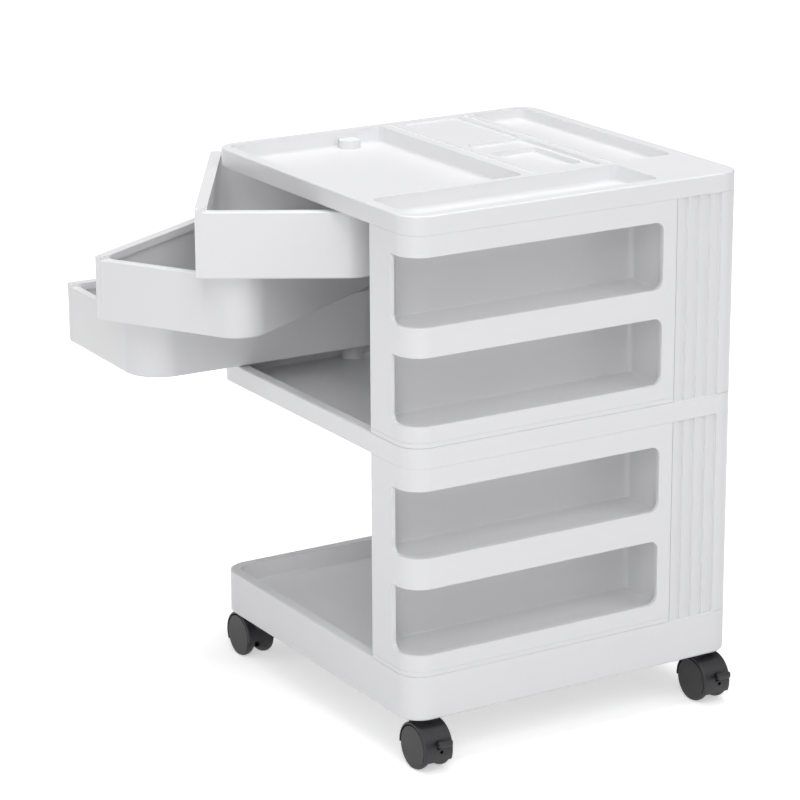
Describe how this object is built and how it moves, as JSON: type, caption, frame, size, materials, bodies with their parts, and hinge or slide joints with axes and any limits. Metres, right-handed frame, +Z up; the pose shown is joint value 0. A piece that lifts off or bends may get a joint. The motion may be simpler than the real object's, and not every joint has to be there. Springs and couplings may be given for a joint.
{
  "type": "rolling storage organizer",
  "caption": "Square white rolling storage organizer on swivel casters, with pocket shelves, side bins, a stack of swing-out drawers and a compartmented top tray.",
  "frame": {"origin": "centre of the base tray's underside, where its main ribs cross; the floor is 56 mm below", "axes": "+Z up; +X along the pocket side towards the side bins; -Y is the pocket side, -X the side that the drawers swing out of"},
  "size_m": [0.5683, 0.5692, 0.59],
  "materials": {
    "white_tray": "glossy white moulded plastic",
    "white_shell": "glossy white moulded plastic",
    "white_drawer": "glossy white moulded plastic",
    "caster_plastic": "satin black nylon",
    "wheel_plastic": "satin dark grey nylon",
    "steel": "plain bright steel"
  },
  "bodies": {
    "cart": {"base_tray": "white_tray", "middle_tray": "white_tray", "top_tray": "white_tray", "lower_pocket_unit": "white_shell", "upper_pocket_unit": "white_shell", "lower_side_unit": "white_shell", "upper_side_unit": "white_shell", "drawer_rod": "steel", "caster_sleeves": "caster_plastic", "caster_stems": "steel"},
    "drawer_bottom": {"drawer_bottom": "white_drawer"},
    "drawer_middle": {"drawer_middle": "white_drawer"},
    "drawer_top": {"drawer_top": "white_drawer"},
    "caster_front_left": {"caster_housing_front_left": "caster_plastic", "caster_axle_front_left": "steel", "brake_pin_front_left": "steel"},
    "wheel_left_front_left": {"caster_wheel_left_front_left": "wheel_plastic"},
    "wheel_right_front_left": {"caster_wheel_right_front_left": "wheel_plastic"},
    "lever_front_left": {"brake_lever_front_left": "caster_plastic"},
    "caster_front_right": {"caster_housing_front_right": "caster_plastic", "caster_axle_front_right": "steel", "brake_pin_front_right": "steel"},
    "wheel_left_front_right": {"caster_wheel_left_front_right": "wheel_plastic"},
    "wheel_right_front_right": {"caster_wheel_right_front_right": "wheel_plastic"},
    "lever_front_right": {"brake_lever_front_right": "caster_plastic"},
    "caster_back_left": {"caster_housing_back_left": "caster_plastic", "caster_axle_back_left": "steel"},
    "wheel_left_back_left": {"caster_wheel_left_back_left": "wheel_plastic"},
    "wheel_right_back_left": {"caster_wheel_right_back_left": "wheel_plastic"},
    "caster_back_right": {"caster_housing_back_right": "caster_plastic", "caster_axle_back_right": "steel"},
    "wheel_left_back_right": {"caster_wheel_left_back_right": "wheel_plastic"},
    "wheel_right_back_right": {"caster_wheel_right_back_right": "wheel_plastic"}
  },
  "joints": [
    {"name": "drawer_bottom_swing", "type": "hinge", "parent": "cart", "child": "drawer_bottom", "pos_m": [-0.046, 0.183, 0.2962], "axis": [0, 0, -1], "range_deg": [-91.5, 3.5]},
    {"name": "drawer_middle_swing", "type": "hinge", "parent": "cart", "child": "drawer_middle", "pos_m": [-0.046, 0.183, 0.3662], "axis": [0, 0, -1], "range_deg": [-60, 35]},
    {"name": "drawer_top_swing", "type": "hinge", "parent": "cart", "child": "drawer_top", "pos_m": [-0.046, 0.183, 0.4382], "axis": [0, 0, -1], "range_deg": [-31.3, 63.7]},
    {"name": "caster_front_left_swivel", "type": "hinge", "parent": "cart", "child": "caster_front_left", "pos_m": [-0.178, -0.174, 0], "axis": [0, 0, 1], "continuous": true},
    {"name": "wheel_left_front_left_spin", "type": "hinge", "parent": "caster_front_left", "child": "wheel_left_front_left", "pos_m": [-0.178, -0.19, -0.032], "axis": [1, 0, 0], "continuous": true},
    {"name": "wheel_right_front_left_spin", "type": "hinge", "parent": "caster_front_left", "child": "wheel_right_front_left", "pos_m": [-0.178, -0.19, -0.032], "axis": [1, 0, 0], "continuous": true},
    {"name": "brake_lever_front_left_press", "type": "hinge", "parent": "caster_front_left", "child": "lever_front_left", "pos_m": [-0.178, -0.207, -0.022], "axis": [1, 0, 0], "range_deg": [0, 20]},
    {"name": "caster_front_right_swivel", "type": "hinge", "parent": "cart", "child": "caster_front_right", "pos_m": [0.178, -0.174, 0], "axis": [0, 0, 1], "continuous": true},
    {"name": "wheel_left_front_right_spin", "type": "hinge", "parent": "caster_front_right", "child": "wheel_left_front_right", "pos_m": [0.178, -0.19, -0.032], "axis": [1, 0, 0], "continuous": true},
    {"name": "wheel_right_front_right_spin", "type": "hinge", "parent": "caster_front_right", "child": "wheel_right_front_right", "pos_m": [0.178, -0.19, -0.032], "axis": [1, 0, 0], "continuous": true},
    {"name": "brake_lever_front_right_press", "type": "hinge", "parent": "caster_front_right", "child": "lever_front_right", "pos_m": [0.178, -0.207, -0.022], "axis": [1, 0, 0], "range_deg": [0, 20]},
    {"name": "caster_back_left_swivel", "type": "hinge", "parent": "cart", "child": "caster_back_left", "pos_m": [-0.178, 0.174, 0], "axis": [0, 0, 1], "continuous": true},
    {"name": "wheel_left_back_left_spin", "type": "hinge", "parent": "caster_back_left", "child": "wheel_left_back_left", "pos_m": [-0.178, 0.19, -0.032], "axis": [1, 0, 0], "continuous": true},
    {"name": "wheel_right_back_left_spin", "type": "hinge", "parent": "caster_back_left", "child": "wheel_right_back_left", "pos_m": [-0.178, 0.19, -0.032], "axis": [1, 0, 0], "continuous": true},
    {"name": "caster_back_right_swivel", "type": "hinge", "parent": "cart", "child": "caster_back_right", "pos_m": [0.178, 0.174, 0], "axis": [0, 0, 1], "continuous": true},
    {"name": "wheel_left_back_right_spin", "type": "hinge", "parent": "caster_back_right", "child": "wheel_left_back_right", "pos_m": [0.178, 0.19, -0.032], "axis": [1, 0, 0], "continuous": true},
    {"name": "wheel_right_back_right_spin", "type": "hinge", "parent": "caster_back_right", "child": "wheel_right_back_right", "pos_m": [0.178, 0.19, -0.032], "axis": [1, 0, 0], "continuous": true}
  ]
}
